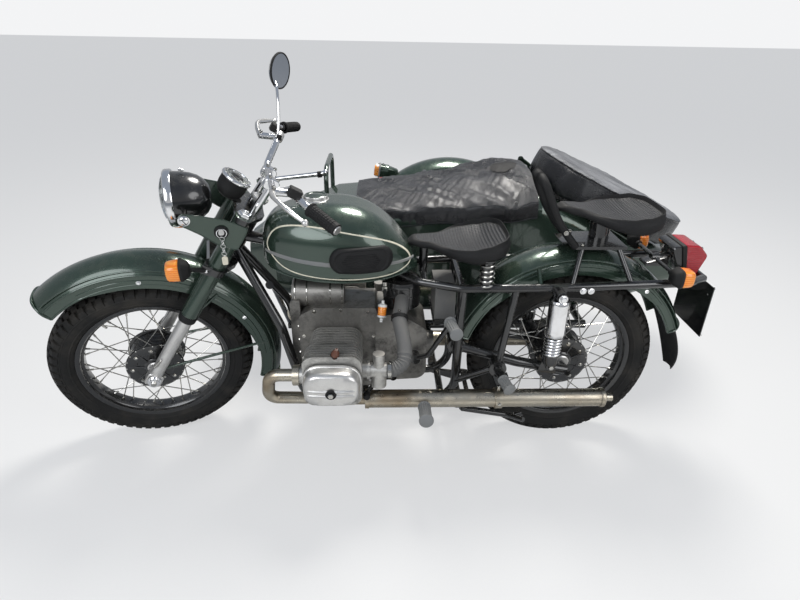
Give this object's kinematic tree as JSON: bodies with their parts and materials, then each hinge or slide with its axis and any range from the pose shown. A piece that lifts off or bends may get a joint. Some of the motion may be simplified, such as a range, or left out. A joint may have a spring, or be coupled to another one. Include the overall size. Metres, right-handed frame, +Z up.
{
  "type": "sidecar motorcycle",
  "caption": "Flat twin motorcycle with a boat-shaped passenger sidecar on its right; wheels roll, the fork steers, the boot lid opens and the stand swings.",
  "frame": {"origin": "middle of the footprint of the whole machine, on the ground", "axes": "+X forward, +Y to the rider's left, +Z up"},
  "size_m": [2.5003, 1.6166, 1.3452],
  "materials": {
    "black_paint": "gloss enamel, dusty",
    "green_paint": "deep green gloss enamel",
    "cast_aluminium": "sand cast, dull",
    "dull_chrome": "dulled and heat stained",
    "chrome": "polished",
    "grey_rubber": "moulded",
    "black_rubber": "moulded",
    "red_lens": "moulded lens",
    "orange_lens": "moulded lens",
    "grey_plastic": "moulded",
    "black_plastic": "moulded",
    "vinyl": "grained sheet, sun greyed",
    "tyre": "worn tread",
    "black_wheel": "black enamel with steel spokes"
  },
  "bodies": {
    "chassis": {"frame": "black_paint", "engine": "cast_aluminium", "cylinders": "cast_aluminium", "head_covers": "cast_aluminium", "carburettors": "cast_aluminium", "intake": "grey_rubber", "exhausts": "dull_chrome", "fuel_tank": "green_paint", "knee_pads": "black_rubber", "tank_cap": "black_paint", "rider_saddle": "black_rubber", "saddle_mounts": "black_paint", "passenger_saddle": "black_rubber", "passenger_frame": "black_paint", "grab_handle": "black_rubber", "rear_fender": "green_paint", "mud_flap": "black_rubber", "rear_lamps": "red_lens", "plate_bracket": "black_paint", "swing_arm": "black_paint", "shocks": "chrome", "footrests": "black_paint", "foot_controls": "black_paint", "battery": "grey_plastic", "sidecar_body": "green_paint", "tonneau": "vinyl", "sidecar_fender": "green_paint", "sidecar_lamp": "green_paint", "sidecar_frame": "black_paint", "sidecar_suspension": "black_paint", "windscreen_rail": "green_paint"},
    "steering": {"yokes": "black_paint", "fork_legs": "green_paint", "front_axle": "chrome", "front_fender": "green_paint", "headlamp": "black_paint", "speedometer": "black_plastic", "handlebar": "chrome", "grips": "black_rubber", "bar_mirror": "chrome", "front_indicators": "orange_lens"},
    "front_wheel": {"front_tyre": "tyre", "front_rim": "black_wheel"},
    "rear_wheel": {"rear_tyre": "tyre", "rear_rim": "black_wheel"},
    "sidecar_wheel": {"sidecar_tyre": "tyre", "sidecar_rim": "black_wheel"},
    "centre_stand": {"centre_stand": "black_paint"},
    "boot_lid": {"trunk_lid": "green_paint", "spare_wheel": "vinyl"}
  },
  "joints": [
    {"name": "steering", "type": "hinge", "parent": "chassis", "child": "steering", "pos_m": [0.88069, 0.42767, 0.31688], "axis": [-0.5373, 0, 0.8434], "range_deg": [-53, 19]},
    {"name": "front_wheel_spin", "type": "hinge", "parent": "steering", "child": "front_wheel", "pos_m": [0.91618, 0.44053, 0.33949], "axis": [-0.2466, 0.9563, -0.1571], "continuous": true},
    {"name": "rear_wheel_spin", "type": "hinge", "parent": "chassis", "child": "rear_wheel", "pos_m": [-0.56882, 0.42767, 0.343], "axis": [0, 1, 0], "continuous": true},
    {"name": "sidecar_wheel_spin", "type": "hinge", "parent": "chassis", "child": "sidecar_wheel", "pos_m": [-0.26132, -0.71233, 0.343], "axis": [0, 1, 0], "continuous": true},
    {"name": "stand_swing", "type": "hinge", "parent": "chassis", "child": "centre_stand", "pos_m": [-0.20032, 0.42767, 0.186], "axis": [0, -1, 0], "range_deg": [0, 100], "stiffness_Nm_per_rad": 6, "springref_deg": -68.75},
    {"name": "boot_lid_swing", "type": "hinge", "parent": "chassis", "child": "boot_lid", "pos_m": [-0.56232, -0.26233, 0.88], "axis": [0, 1, 0], "range_deg": [0, 60]}
  ]
}
